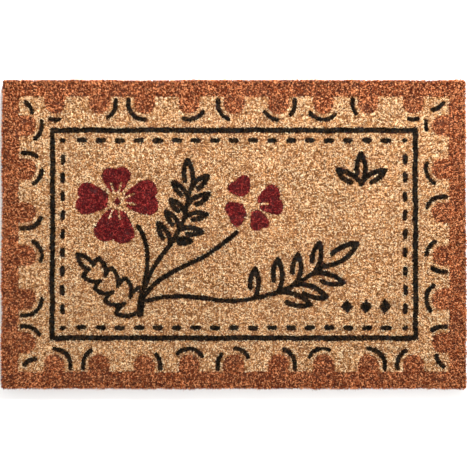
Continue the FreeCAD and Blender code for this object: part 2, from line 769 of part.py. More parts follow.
def chain_yarn(first_side):
    """A yarn along the mat, over one weft and under the next: arcs and their tangent lines."""
    places, step = weft_places()
    swing = value(YARN_SWING)
    lean = math.asin(2 * swing / step)
    height = value(WEFT_HEIGHT)
    edges = []
    last = Vector(places[0] - step / 2, 0, height)
    side = first_side
    for x in places:
        turn = [
            Vector(x + swing * math.sin(angle), 0, height + side * swing * math.cos(angle))
            for angle in (-lean, 0, lean)
        ]
        edges.append(Part.LineSegment(last, turn[0]).toShape())
        edges.append(Part.Arc(*turn).toShape())
        last = turn[2]
        side = -side
    edges.append(Part.LineSegment(last, Vector(places[-1] + step / 2, 0, height)).toShape())
    way = Vector(math.cos(lean), 0, first_side * math.sin(lean))
    section = Part.Wire(Part.Circle(edges[0].Vertexes[0].Point, way, size("chain_radius")).toShape())
    yarn = Part.Wire(edges).makePipeShell([section], True, False)
    length = sum(edge.Length for edge in edges)
    expected = math.pi * size("chain_radius") ** 2 * length
    if abs(yarn.Volume / expected - 1) > 0.01:
        raise RuntimeError("a chain yarn's volume is wrong")
    return yarn


def make_chains():
    """Yarns along the mat in two sets, each over the wefts that the other is under."""
    places = chain_places()[0]
    for label, first, side in (("chain_yarns_odd", 0, 1), ("chain_yarns_even", 1, -1)):
        yarn = chain_yarn(side)
        copies = [yarn.translated(Vector(0, y, 0)) for y in places[first::2]]
        feature(label, Part.makeCompound(copies))


# ---- edge braids and their stitches -----------------------------------------------------------


def make_braid(label, length, stitches, x, y, degrees):
    """Flat braid along X with rounded edges, and a groove underneath for each stitch."""
    body = doc.addObject("PartDesign::Body", label)
    strip = new_sketch(body, f"{label}_strip")
    add_rectangle(strip, "strip", length, "sizes.braid_width")
    solid = pad(body, strip, "sizes.braid_height")

    def long_edge(middle, edge):
        return abs(abs(middle.y) - size("braid_width") / 2) < 1e-3 and edge.Length > value(length) / 2

    fillet(body, solid, edge_names(solid.Shape, long_edge), "sizes.braid_rounding")
    groove = new_sketch(body, f"{label}_groove")
    add_rectangle(groove, "groove", GROOVE_SIZE, "sizes.braid_width + 2")
    groove.AttachmentOffset = Placement(Vector(stitches[0], 0, 0), Rotation())
    span = f"{stitches[-1] - stitches[0]}"
    pattern(body, pocket_up(body, groove, GROOVE_SIZE), "X_Axis", span, str(len(stitches)))
    body.Placement = Placement(Vector(0, 0, 0), Rotation(Vector(0, 0, 1), degrees))
    body.setExpression("Placement.Base.x", x)
    body.setExpression("Placement.Base.y", y)
    return register(body, label)


def stitch(first, last):
    """Twine loop in the YZ plane, round all that lies between two places along Y."""
    radius = size("twine_radius")
    gap = size("twine_gap")
    bend = size("twine_bend")
    low_y = first - gap - radius
    high_y = last + gap + radius
    low_z = radius + gap
    high_z = value(STITCH_INSIDE) + gap + radius
    corners = (
        (low_y, low_z, 1, 1),
        (high_y, low_z, -1, 1),
        (high_y, high_z, -1, -1),
        (low_y, high_z, 1, -1),
    )
    edges = []
    turn = bend * (1 - math.sqrt(0.5))
    for number, (y, z, to_y, to_z) in enumerate(corners):
        near = Vector(0, y, z + to_z * bend)
        far = Vector(0, y + to_y * bend, z)
        if number % 2:
            near, far = far, near
        edges.append(Part.Arc(near, Vector(0, y + to_y * turn, z + to_z * turn), far).toShape())
    loop = []
    for arc, following in zip(edges, edges[1:] + edges[:1]):
        loop.append(arc)
        loop.append(Part.LineSegment(arc.Vertexes[1].Point, following.Vertexes[0].Point).toShape())
    start = edges[0].Vertexes[0].Point
    section = Part.Wire(Part.Circle(start, Vector(0, 0, 1), radius).toShape())
    return Part.Wire(loop).makePipeShell([section], True, False)


def make_edges():
    """Four braids, and the stitches that hold each to the outermost yarn beside it."""
    wefts, weft_step = weft_places()
    chains, chain_step = chain_places()
    reach_x = size("mat_length") / 2 - size("braid_inset")
    reach_y = size("mat_width") / 2 - size("braid_inset")
    to_chain = chains[0] + size("chain_radius") + size("stitch_slack")
    to_weft = wefts[0] + size("weft_radius") + size("stitch_slack")
    middle_x = "(sizes.mat_length / 2 - sizes.braid_inset - sizes.braid_width / 2)"
    middle_y = "(sizes.mat_width / 2 - sizes.braid_inset - sizes.braid_width / 2)"
    long_row = [x + weft_step / 2 for x in wefts[:-1:2]]
    short_row = [y + chain_step / 2 for y in chains[:-1]]
    long_stitch = stitch(-reach_y, to_chain)
    short_stitch = stitch(-reach_x, to_weft)
    sides = (
        ("front", END_BRAID_LENGTH, long_row, long_stitch, "0", f"-{middle_y}", 0),
        ("back", END_BRAID_LENGTH, long_row, long_stitch, "0", middle_y, 180),
        ("left", BACKING_WIDTH, short_row, short_stitch, f"-{middle_x}", "0", 270),
        ("right", BACKING_WIDTH, short_row, short_stitch, middle_x, "0", 90),
    )
    for name, length, row, loop, x, y, degrees in sides:
        make_braid(f"edge_braid_{name}", length, row, x, y, degrees)
        loops = Part.makeCompound([loop.translated(Vector(place, 0, 0)) for place in row])
        loops.rotate(Vector(0, 0, 0), Vector(0, 0, 1), degrees)
        feature(f"edge_stitches_{name}", loops)


# ---- the whole mat ----------------------------------------------------------------------------


def check_and_export():
    """Refuse a failed document, then write each sub-part to its own file."""
    doc.recompute()
    for item in doc.Objects:
        if "Invalid" in item.State or "Error" in item.State:
            raise RuntimeError(f"{item.Name} failed: {item.State}")
    for piece in parts:
        if piece.Shape.isNull() or not piece.Shape.isValid():
            raise RuntimeError(f"{piece.Label} has no valid shape")
    os.makedirs("parts", exist_ok=True)
    for piece in parts:
        piece.Shape.exportStep(f"parts/{piece.Label}.step")
        print(f"{piece.Label}: {len(piece.Shape.Solids)} solids, {piece.Shape.Volume / 1000:.1f} cm3")


fill_sheet()
make_wefts()
make_chains()
make_edges()
make_border()
make_margin(make_mark("accent_pile", accents))
make_frame_line()
dash_space = make_mark("dash_pile", dashes)
motif_spaces = make_motifs((
    ("large_flower_pile", large_flower),
    ("small_flower_pile", small_flower),
    ("flower_stem_pile", flower_stems),
    ("left_leaf_pile", lobed_leaf),
    ("upright_sprig_pile", upright_sprig),
    ("right_sprig_pile", right_sprig),
    ("upper_ornament_pile", upper_ornament),
    ("lower_ornament_pile", lower_ornament),
))
make_field([dash_space, *motif_spaces])
check_and_export()
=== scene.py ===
"""Looks of the coir door mat: real fibres, yarns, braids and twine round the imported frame.

Everything is in metres, in the frame's own axes: X along the mat, Y across it, Z up.
"""
import math

import bpy
import numpy as np
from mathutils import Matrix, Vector
from mathutils.bvhtree import BVHTree


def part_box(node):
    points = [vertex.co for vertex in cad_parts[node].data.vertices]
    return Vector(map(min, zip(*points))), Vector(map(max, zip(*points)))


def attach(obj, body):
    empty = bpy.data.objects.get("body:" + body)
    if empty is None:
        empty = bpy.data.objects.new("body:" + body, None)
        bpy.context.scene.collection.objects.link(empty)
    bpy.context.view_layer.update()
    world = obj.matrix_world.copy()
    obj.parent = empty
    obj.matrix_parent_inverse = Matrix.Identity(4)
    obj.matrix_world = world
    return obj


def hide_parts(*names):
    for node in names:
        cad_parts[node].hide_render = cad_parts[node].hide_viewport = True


MM = 0.001

# Pile nodes, and the material slot each is dyed to.
PILE_SLOTS = {
    "border_pile": "coir_brown",
    "margin_pile": "coir_natural",
    "field_pile": "coir_natural",
    "accent_pile": "coir_black",
    "frame_line_pile": "coir_black",
    "dash_pile": "coir_black",
    "large_flower_pile": "coir_crimson",
    "small_flower_pile": "coir_crimson",
    "flower_stem_pile": "coir_black",
    "left_leaf_pile": "coir_black",
    "upright_sprig_pile": "coir_black",
    "right_sprig_pile": "coir_black",
    "upper_ornament_pile": "coir_black",
    "lower_ornament_pile": "coir_black",
}
PILE_NODES = list(PILE_SLOTS)
BORDER = PILE_NODES.index("border_pile")
UNDYED = PILE_NODES.index("field_pile")

TUFT_PITCH = 9.0 * MM  # along a backing yarn
TUFT_FIBRES = 66
MOST_FIBRES = 48000  # in one piece, so that its mesh stays small enough to hand on whole
FIBRE_WIDTH = 1.05 * MM
FIBRE_LEAN = 2.0 * MM  # sideways, from root to tip
CORE_LEVELS = {"coir_natural": 1.0, "coir_brown": 0.66, "coir_crimson": 0.33, "coir_black": 0.0}
CORE_DROP = 8.0 * MM  # from the sheared top down to the dense part of the pile
CORE_INSET = 4.0 * MM  # from the pile's sides, which also holds the roots in
TRIM_WAVE = 1.1 * MM  # how far the hand-trimmed sides wander
STENCIL_WAVE = 1.1 * MM  # how far the dye's edges wander
STENCIL_BLEED = 0.35 * MM  # how far single fibres carry dye over an edge
PIT_DEPTH = 3.5 * MM  # how far the fibres in a gap between clumps stay below the top
STRAY_SHARE = 0.04  # fibres that the shear missed
GATHER = 0.25  # how far a fibre leans towards its tuft's middle, from 0 to 1
TONE_FIBRE = 0.12
# Per clump: partly real tone that differs at random, partly painted shade that darkens the fibres
# sunk in the gaps between clumps, and painted light that lightens the clumps.
CLUMP_TONE_AND_SHADE = 0.66
FRINGE_PER_METRE = 7600
FRINGE_WIDTH = 0.75 * MM
SIDES = ("front", "right", "back", "left")  # in the order of the outline

LOOKS = {}  # a material for each slot

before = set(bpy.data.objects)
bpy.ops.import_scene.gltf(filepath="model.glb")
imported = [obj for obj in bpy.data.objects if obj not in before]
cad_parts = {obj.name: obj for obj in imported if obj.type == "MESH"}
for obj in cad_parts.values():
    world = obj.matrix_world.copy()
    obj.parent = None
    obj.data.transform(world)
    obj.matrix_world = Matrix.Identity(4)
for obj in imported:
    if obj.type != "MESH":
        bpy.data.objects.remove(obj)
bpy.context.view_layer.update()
low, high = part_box("border_pile")
FOOT = low.z
TOP = high.z
HALF = np.array([high.x, high.y])
CORNER_RADIUS = 7.0 * MM
OUTLINE_LENGTH = 4 * (HALF.sum() - 2 * CORNER_RADIUS) + 2 * math.pi * CORNER_RADIUS
rng = np.random.default_rng(20)


# ---- numbers ----------------------------------------------------------------------------------


def wavy(x, y, cell, seed):
    """Smooth noise from -1 to 1 whose features are about one cell wide."""
    side = 97
    grid = np.random.default_rng(seed).uniform(-1, 1, (side, side))
    u = x / cell + 40.3
    v = y / cell + 37.7
    i = np.floor(u).astype(int)
    j = np.floor(v).astype(int)
    s = u - i
    t = v - j
    s = s * s * (3 - 2 * s)
    t = t * t * (3 - 2 * t)
    near = grid[i % side, j % side] * (1 - s) + grid[(i + 1) % side, j % side] * s
    far = grid[i % side, (j + 1) % side] * (1 - s) + grid[(i + 1) % side, (j + 1) % side] * s
    return near * (1 - t) + far * t


def unit(v):
    """Scale rows to length one."""
    return v / np.maximum(np.linalg.norm(v, axis=1, keepdims=True), 1e-9)


def stack(*columns):
    """Join numbers or arrays to rows of coordinates."""
    return np.stack(np.broadcast_arrays(*columns), axis=1).astype(float)


def node_points(name):
    """The points of a CAD node's mesh, as rows."""
    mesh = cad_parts[name].data
    co = np.zeros(len(mesh.vertices) * 3)
    mesh.vertices.foreach_get("co", co)
    return co.reshape(-1, 3)


def middles(places, gap):
    """The middle of each run of numbers that lie closer together than a gap."""
    places = np.unique(places)
    breaks = np.nonzero(np.diff(places) > gap)[0]
    starts = np.concatenate([[places[0]], places[breaks + 1]])
    ends = np.concatenate([places[breaks], [places[-1]]])
    return (starts + ends) / 2


def outline(places):
    """Points and outward directions on the mat's rounded outline, at shares of its length."""
    flat = 2 * (HALF - CORNER_RADIUS)
    turn = CORNER_RADIUS * math.pi / 2
    lengths = [flat[0], turn, flat[1], turn, flat[0], turn, flat[1], turn]
    starts = np.concatenate([[0], np.cumsum(lengths)])
    s = (np.asarray(places) % 1.0) * starts[-1]
    part = np.clip(np.searchsorted(starts, s, side="right") - 1, 0, 7)
    run = s - starts[part]
    side = part // 2
    curved = part % 2 == 1
    heading = side * (math.pi / 2) + np.where(curved, run / CORNER_RADIUS, 0)
    out = stack(np.sin(heading), -np.cos(heading))
    way = stack(np.cos(side * math.pi / 2), np.sin(side * math.pi / 2))
    inner = HALF - CORNER_RADIUS
    start = np.array([[-1, -1], [1, -1], [1, 1], [-1, 1]])[side] * inner
    turning = np.array([[1, -1], [1, 1], [-1, 1], [-1, -1]])[side] * inner
    base = np.where(curved[:, None], turning, start + way * run[:, None])
    return base + out * CORNER_RADIUS, out


# ---- which dye is where -----------------------------------------------------------------------


def dye_tree():
    """A tree of the pile nodes' sheared tops, and which node each of its faces belongs to."""
    points = []
    faces = []
    owners = []
    count = 0
    for index, name in enumerate(PILE_NODES):
        co = node_points(name)
        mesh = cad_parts[name].data
        mesh.calc_loop_triangles()
        corners = np.zeros(len(mesh.loop_triangles) * 3, int)
        mesh.loop_triangles.foreach_get("vertices", corners)
        corners = corners.reshape(-1, 3)
        upper = co[corners][:, :, 2].min(axis=1) > (FOOT + TOP) / 2
        faces.append(corners[upper] + count)
        owners.append(np.full(upper.sum(), index))
        points.append(co)
        count += len(co)
    tree = BVHTree.FromPolygons(np.concatenate(points).tolist(), np.concatenate(faces).tolist())
    return tree, np.concatenate(owners)


DYE_TREE, DYE_OWNER = dye_tree()


def dye_at(x, y):
    """Which pile node lies under each place, by its index, seen straight from above."""
    down = Vector((0, 0, -1))
    start = 2 * TOP
    found = np.full(len(x), -1)
    for i, (px, py) in enumerate(zip(x.tolist(), y.tolist())):
        hit = DYE_TREE.ray_cast(Vector((px, py, start)), down)[2]
        if hit is not None:
            found[i] = DYE_OWNER[hit]
    outside = (np.abs(x) > HALF[0] - 0.01) | (np.abs(y) > HALF[1] - 0.01)
    return np.where(found >= 0, found, np.where(outside, BORDER, UNDYED))


def stencilled(x, y):
    """As dye_at, with the wandering and bleeding edges of a hand stencil."""
    wander_x = STENCIL_WAVE * (wavy(x, y, 24 * MM, 1) + 0.6 * wavy(x, y, 7 * MM, 2))
    wander_y = STENCIL_WAVE * (wavy(x, y, 24 * MM, 3) + 0.6 * wavy(x, y, 7 * MM, 4))
    bleed = rng.normal(0, STENCIL_BLEED, (2, len(x)))
    return dye_at(x + wander_x + bleed[0], y + wander_y + bleed[1])


# ---- meshes -----------------------------------------------------------------------------------


def build(name, points, triangles, values, uv, slot, *nodes):
    """Make a piece from arrays, with its named point values, hang it on the root body and hide the
    CAD parts it stands for.
    """
    mesh = bpy.data.meshes.new(name)
    mesh.vertices.add(len(points))
    mesh.vertices.foreach_set("co", points.astype(np.float32).ravel())
    mesh.loops.add(triangles.size)
    mesh.loops.foreach_set("vertex_index", triangles.astype(np.int32).ravel())
    mesh.polygons.add(len(triangles))
    mesh.polygons.foreach_set("loop_start", np.arange(0, triangles.size, 3, dtype=np.int32))
    mesh.update(calc_edges=True)
    mesh.shade_smooth()
    for key, numbers in values.items():
        attribute = mesh.attributes.new(key, "FLOAT", "POINT")
        attribute.data.foreach_set("value", numbers.astype(np.float32))
    layer = mesh.uv_layers.new(name="OFBake")
    layer.data.foreach_set("uv", uv[triangles.ravel()].astype(np.float32).ravel())
    mesh.materials.append(LOOKS[slot])
    piece = bpy.data.objects.new(name, mesh)
    bpy.context.scene.collection.objects.link(piece)
    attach(piece, "root")
    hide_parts(*nodes)
    return piece


def cells(count, across):
    """Lower left corner and size of each of so many square cells that fill the UV square."""
    side = math.ceil(math.sqrt(count))
    index = np.arange(count)
    corner = stack(index % side, index // side) / side
    return np.repeat(corner, across, axis=0), 1 / side


# A straight fibre is a closed wedge: a flat root edge and, a quarter turn round, a flat tip edge.
WEDGE = np.array([[0, 1, 2], [0, 3, 1], [0, 2, 3], [1, 3, 2]])
WEDGE_UV = np.array([[0.2, 0.2], [0.8, 0.2], [0.2, 0.8], [0.8, 0.8]])


def straight_fibres(name, root, tip, width, tone, slot, *nodes):
    """One piece of closed straight fibres."""
    count = len(root)
    axis = unit(tip - root)
    spin = rng.uniform(0, 2 * math.pi, count)
    first = unit(np.cross(axis, stack(np.cos(spin), np.sin(spin), 0.13)))
    second = np.cross(axis, first)
    half = (width / 2)[:, None]
    points = np.stack(
        [root - first * half, root + first * half, tip - second * half, tip + second * half],
        axis=1,
    ).reshape(-1, 3)
    triangles = (np.arange(count)[:, None, None] * 4 + WEDGE).reshape(-1, 3)
    corner, size = cells(count, 4)
    uv = corner + np.tile(WEDGE_UV, (count, 1)) * size
    values = {"tone": np.repeat(tone, 4), "reach": np.tile([0.0, 0.0, 1.0, 1.0], count)}
    return build(name, points, triangles, values, uv, slot, *nodes)


def bent_fibres(name, root, middle, tip, width, tone, slot, *nodes):
    """One piece of closed three-sided fibres that bend from root to tip."""
    count = len(root)
    steps = np.array([0.0, 0.38, 0.72])
    rings = []
    for t in steps:
        place = root * (1 - t) ** 2 + middle * (2 * t * (1 - t)) + tip * t**2
        way = unit((middle - root) * (1 - t) + (tip - middle) * t)
        first = unit(np.cross(way, stack(np.zeros(count), 0.31, 1.0)))
        second = np.cross(way, first)
        reach = (width / 2 * (1 - 0.45 * t))[:, None]
        for corner in range(3):
            angle = 2 * math.pi * corner / 3
            rings.append(place + reach * (math.cos(angle) * first + math.sin(angle) * second))
    rings.append(tip)
    points = np.stack(rings, axis=1).reshape(-1, 3)
    shape = [[0, 2, 1]]
    for ring in (0, 3):
        for corner in range(3):
            a = ring + corner
            b = ring + (corner + 1) % 3
            shape += [[a, b, b + 3], [a, b + 3, a + 3]]
    shape += [[6, 7, 9], [7, 8, 9], [8, 6, 9]]
    triangles = (np.arange(count)[:, None, None] * 10 + np.array(shape)).reshape(-1, 3)
    corner, size = cells(count, 10)
    along = np.concatenate([np.repeat(steps, 3), [1.0]])
    across = np.array([0.2, 0.5, 0.8] * 3 + [0.5])
    uv = corner + np.tile(stack(across, 0.15 + 0.7 * along), (count, 1)) * size
    values = {"tone": np.repeat(tone, 10), "reach": np.tile(along, count)}
    return build(name, points, triangles, values, uv, slot, *nodes)


def tubes(name, paths, radius, sides, slot, *nodes, closed=False):
    """One piece of round strands, each along its own list of points; a closed one is a loop."""
    angles = np.arange(sides) * 2 * math.pi / sides
    points = []
    triangles = []
    tones = []
    uv = []
    count = 0
    for number, path in enumerate(paths):
        path = np.asarray(path)
        size = len(path)
        before = np.roll(path, 1, axis=0)
        after = np.roll(path, -1, axis=0)
        if not closed:
            before[0] = path[0]
            after[-1] = path[-1]
        way = unit(after - before)
        first = np.zeros_like(way)
        guide = np.array([0.13, 0.21, 1.0]) if abs(way[0][2]) < 0.8 else np.array([1.0, 0.17, 0.11])
        for i in range(size):
            guide = guide - way[i] * guide.dot(way[i])
            guide = guide / np.linalg.norm(guide)
            first[i] = guide
        second = np.cross(way, first)
        ring = np.cos(angles)[None, :, None] * first[:, None]
        ring = ring + np.sin(angles)[None, :, None] * second[:, None]
        points.append((path[:, None] + radius * ring).reshape(-1, 3))
        spans = size if closed else size - 1
        i = np.arange(spans)[:, None]
        j = np.arange(sides)[None, :]
        a = i * sides + j
        b = i * sides + (j + 1) % sides
        c = ((i + 1) % size) * sides + (j + 1) % sides
        d = ((i + 1) % size) * sides + j
        walls = np.concatenate([np.stack([a, b, c], -1), np.stack([a, c, d], -1)]).reshape(-1, 3)
        parts = [walls]
        if not closed:
            fan = np.arange(1, sides - 1)
            parts.append(np.stack([np.zeros_like(fan), fan + 1, fan], -1))
            end = (size - 1) * sides
            parts.append(np.stack([np.zeros_like(fan), fan, fan + 1], -1) + end)
        triangles.append(np.concatenate(parts) + count)
        count += size * sides
        tones.append(np.full(size * sides, (number * 0.37 + 0.5) % 1.0))
        u = np.repeat(np.linspace(0.01, 0.99, size), sides)
        v = (number + 0.1 + 0.8 * np.tile(np.abs(np.linspace(-1, 1, sides)), size)) / len(paths)
        uv.append(stack(u, v))
    points = np.concatenate(points)
    triangles = np.concatenate(triangles)
    values = {"tone": np.concatenate(tones), "reach": np.full(count, 1.0)}
    return build(name, points, triangles, values, np.concatenate(uv), slot, *nodes)


# ---- materials --------------------------------------------------------------------------------


def link(tree, source, output, target, socket):
    """Join one node's output to another's input."""
    tree.links.new(source.outputs[output], target.inputs[socket])


def ramp(tree, stops):
    """A colour ramp from places and linear colours."""
    node = tree.nodes.new("ShaderNodeValToRGB")
    while len(node.color_ramp.elements) < len(stops):
        node.color_ramp.elements.new(0.5)
    for element, (place, colour) in zip(node.color_ramp.elements, stops):
        element.position = place
        element.color = (*colour, 1)
    return node


def attribute(tree, name):
    """Read a named point value."""
    node = tree.nodes.new("ShaderNodeAttribute")
    node.attribute_name = name
    return node


def noise(tree, scale, detail):
    """Noise over the object's own place, so that it stays put in every view."""
    place = tree.nodes.new("ShaderNodeTexCoord")
    node = tree.nodes.new("ShaderNodeTexNoise")
    node.inputs["Scale"].default_value = scale
    node.inputs["Detail"].default_value = detail
    link(tree, place, "Object", node, "Vector")
    return node


def multiply(tree, first, first_output, second, second_output):
    """Multiply two colours."""
    node = tree.nodes.new("ShaderNodeMix")
    node.data_type = "RGBA"
    node.blend_type = "MULTIPLY"
    node.inputs["Factor"].default_value = 1
    tree.links.new(first.outputs[first_output], node.inputs[6])
    tree.links.new(second.outputs[second_output], node.inputs[7])
    return node


def coir(slot, stops, root_shade, patch, roughness, gloss=0.18, grain_scale=900):
    """A slot's coir: a tone for each fibre, shaded roots, patches this strong, and fine grain."""
    material = bpy.data.materials.new(f"{slot}_look")
    material.use_nodes = True
    LOOKS[slot] = material
    tree = material.node_tree
    shader = tree.nodes["Principled BSDF"]
    tones = ramp(tree, stops)
    link(tree, attribute(tree, "tone"), "Fac", tones, "Fac")
    depth = ramp(tree, ((0.0, root_shade), (0.75, (1, 1, 1))))
    link(tree, attribute(tree, "reach"), "Fac", depth, "Fac")
    patches = ramp(tree, ((0.3, (1 - patch,) * 3), (0.7, (1 + patch,) * 3)))
    link(tree, noise(tree, 22, 3), "Fac", patches, "Fac")
    grain = ramp(tree, ((0.25, (0.78, 0.76, 0.74)), (0.7, (1.12, 1.12, 1.12))))
    fine = noise(tree, grain_scale, 2)
    link(tree, fine, "Fac", grain, "Fac")
    colour = multiply(tree, tones, "Color", depth, "Color")
    colour = multiply(tree, colour, 2, patches, "Color")
    colour = multiply(tree, colour, 2, grain, "Color")
    tree.links.new(colour.outputs[2], shader.inputs["Base Color"])
    bump = tree.nodes.new("ShaderNodeBump")
    bump.inputs["Strength"].default_value = 0.35
    bump.inputs["Distance"].default_value = 0.15 * MM
    link(tree, fine, "Fac", bump, "Height")
    link(tree, bump, "Normal", shader, "Normal")
    shader.inputs["Roughness"].default_value = roughness
    shader.inputs["Specular IOR Level"].default_value = gloss


def core_material():
    """The pile's dense lower part: the roots in the colour of the dye above them, darkened as
    painted shade deep in the pile.
    """
    material = bpy.data.materials.new("pile_core_look")
    material.use_nodes = True
    LOOKS["pile_core"] = material
    tree = material.node_tree
    shader = tree.nodes["Principled BSDF"]
    # Painted shade: each dye's colour made far darker than its fibres, to stand for the shade
    # between them.
    dye_in_painted_shade = ramp(tree, (
        (0.0, (0.01, 0.009, 0.007)),
        (0.33, (0.06, 0.006, 0.006)),
        (0.66, (0.1, 0.028, 0.01)),
        (1.0, (0.24, 0.1, 0.035)),
    ))
    link(tree, attribute(tree, "dye"), "Fac", dye_in_painted_shade, "Fac")
    grain = ramp(tree, ((0.3, (0.55, 0.55, 0.55)), (0.7, (1.2, 1.2, 1.2))))
    fine = noise(tree, 420, 4)
    link(tree, fine, "Fac", grain, "Fac")
    colour = multiply(tree, dye_in_painted_shade, "Color", grain, "Color")
    tree.links.new(colour.outputs[2], shader.inputs["Base Color"])
    bump = tree.nodes.new("ShaderNodeBump")
    bump.inputs["Strength"].default_value = 0.8
    bump.inputs["Distance"].default_value = 1.0 * MM
    link(tree, fine, "Fac", bump, "Height")
    link(tree, bump, "Normal", shader, "Normal")
    shader.inputs["Roughness"].default_value = 0.9


def dye_materials():
    """The pile's dyes, in linear colours from a fibre's darkest tone to its lightest."""
    coir(
        "coir_natural",
        (
            (0.0, (0.05, 0.014, 0.0025)),
            (0.3, (0.39, 0.16, 0.041)),
            (0.6, (0.81, 0.43, 0.168)),
            (1.0, (1.0, 0.88, 0.6)),
        ),
        root_shade=(0.35, 0.28, 0.22),
        patch=0.07,
        roughness=0.62,
    )
    coir(
        "coir_brown",
        (
            (0.0, (0.007, 0.001, 0.0002)),
            (0.3, (0.117, 0.0143, 0.0022)),
            (0.65, (0.375, 0.078, 0.012)),
            (1.0, (0.95, 0.44, 0.19)),
        ),
        root_shade=(0.4, 0.33, 0.28),
        patch=0.1,
        roughness=0.6,
    )
    coir(
        "coir_black",
        (
            (0.0, (0.001, 0.001, 0.001)),
            (0.55, (0.0045, 0.0035, 0.0022)),
            (0.85, (0.025, 0.014, 0.006)),
            (1.0, (0.11, 0.055, 0.022)),
        ),
        root_shade=(0.6, 0.55, 0.5),
        patch=0.1,
        roughness=0.7,
        gloss=0.04,
    )
    coir(
        "coir_crimson",
        (
            (0.0, (0.02, 0.0013, 0.0025)),
            (0.4, (0.115, 0.005, 0.0065)),
            (0.7, (0.25, 0.012, 0.0145)),
            (1.0, (0.5, 0.075, 0.057)),
        ),
        root_shade=(0.5, 0.4, 0.4),
        patch=0.08,
        roughness=0.7,
        gloss=0.1,
    )


def yarn_materials():
    """Undyed yarn, braid and twine, in linear colours from the darkest strand to the lightest."""
    coir(
        "coir_yarn",
        ((0.0, (0.2, 0.09, 0.035)), (0.5, (0.38, 0.2, 0.09)), (1.0, (0.55, 0.33, 0.16))),
        root_shade=(1, 1, 1),
        patch=0.12,
        roughness=0.75,
        grain_scale=1400,
    )
    coir(
        "coir_braid",
        ((0.0, (0.18, 0.075, 0.03)), (0.5, (0.34, 0.17, 0.075)), (1.0, (0.5, 0.29, 0.14))),
        root_shade=(1, 1, 1),
        patch=0.14,
        roughness=0.78,
        grain_scale=1100,
    )
    coir(
        "twine",
        ((0.0, (0.33, 0.21, 0.11)), (0.5, (0.48, 0.34, 0.19)), (1.0, (0.62, 0.47, 0.28))),
        root_shade=(1, 1, 1),
        patch=0.08,
        roughness=0.7,
        grain_scale=1800,
    )


# ---- pile -------------------------------------------------------------------------------------


def weft_lines():
    """Where the backing yarns that hold the tufts lie, along X."""
    return middles(np.round(node_points("weft_yarns")[:, 0], 5), 3 * MM)


def tuft_places():
    """The middle of each tuft's top, and the spacing of the tufts along the mat."""
    lines = weft_lines()
    step = (lines[-1] - lines[0]) / (len(lines) - 1)
    spare = math.ceil((HALF[0] - lines[-1]) / step) + 1
    columns = (np.arange(-spare, len(lines) + spare)) * step + lines[0]
    rows = np.arange(-HALF[1], HALF[1] + TUFT_PITCH, TUFT_PITCH)
    x, y = np.meshgrid(columns, rows, indexing="ij")
    y = y + np.where(np.arange(len(columns)) % 2, TUFT_PITCH / 2, 0)[:, None]
    x = x.ravel()
    y = y.ravel()
    return x, y, step


def trim_wander(x, y):
    """How far the hand-trimmed sides lie outside their true line, near each place."""
    return TRIM_WAVE * (wavy(x, y, 60 * MM, 11) + 0.7 * wavy(x, y, 14 * MM, 12))


def trimmed(x, y, slack):
    """Whether places are inside the hand-trimmed sides, drawn in by slack."""
    inner = HALF - CORNER_RADIUS
    beyond = np.maximum(np.abs(stack(x, y)) - inner, 0)
    corner = np.linalg.norm(beyond, axis=1)
    return corner < CORNER_RADIUS + trim_wander(x, y) - slack


def top_height(x, y):
    """Height of the sheared top, which a shear leaves a little uneven."""
    return TOP - 0.5 * MM + 0.5 * MM * wavy(x, y, 90 * MM, 21) + 0.35 * MM * wavy(x, y, 22 * MM, 22)


def speckle(x, y, cell, seed):
    """Uneven noise from -1 to 1: every square cell, shifted row by row, has a value of its own."""
    side = 1021
    grid = np.random.default_rng(seed).uniform(-1, 1, (side, side))
    i = np.floor(x / cell + 0.35 * wavy(x, y, 2 * cell, seed + 1)).astype(int)
    j = np.floor(y / cell + 0.35 * wavy(x, y, 2 * cell, seed + 2)).astype(int)
    return grid[i % side, j % side]


def clumps(x, y):
    """How far a place is inside a clump of fibres (above 0) or in a gap between clumps."""
    return 0.75 * speckle(x, y, 1.9 * MM, 31) + 0.5 * speckle(x, y, 1.4 * MM, 35)


def pile_fibres():
    """Root, tip, width, tone and dye of every standing fibre."""
    x, y, step = tuft_places()
    count = len(x) * TUFT_FIBRES
    own = np.repeat(np.arange(len(x)), TUFT_FIBRES)
    spread = rng.uniform(-0.62, 0.62, (2, count))
    lean = rng.normal(0, 1.3 * MM, (2, len(x)))
    tip_x = x[own] + spread[0] * step + lean[0][own]
    tip_y = y[own] + spread[1] * TUFT_PITCH + lean[1][own]
    keep = trimmed(tip_x, tip_y, rng.exponential(0.8 * MM, count))
    own = own[keep]
    tip_x = tip_x[keep]
    tip_y = tip_y[keep]
    count = len(own)
    clump = clumps(tip_x, tip_y)
    length = rng.uniform(9, 16, count) * MM
    tip_z = top_height(tip_x, tip_y) - np.abs(rng.normal(0, 0.7 * MM, count))
    tip_z = tip_z - PIT_DEPTH * np.clip(-clump, 0, 1)
    stray = rng.uniform(0, 1, count) < STRAY_SHARE
    tip_z = tip_z + stray * rng.uniform(0.5, 2.0, count) * MM
    toward = GATHER * stack(x[own] - tip_x, y[own] - tip_y) + rng.normal(0, FIBRE_LEAN, (count, 2))
    inner = HALF - CORE_INSET
    root_xy = np.clip(stack(tip_x, tip_y) + toward, -inner, inner)
    root = np.column_stack([root_xy, tip_z - length])
    tip = stack(tip_x, tip_y, tip_z)
    # The clump term is partly real tone and partly painted shade: fibres sunk in the gaps between
    # clumps get darker, fibres on the clumps lighter.
    tone = 0.5 + TONE_FIBRE * rng.normal(0, 1, count) + CLUMP_TONE_AND_SHADE * clump
    width = FIBRE_WIDTH * rng.uniform(0.7, 1.3, count)
    seen = tip * 0.8 + root * 0.2  # the middle of the stretch that shows from above
    dye = stencilled(seen[:, 0], seen[:, 1])
    return root, tip, width, np.clip(tone, 0.02, 0.98), dye


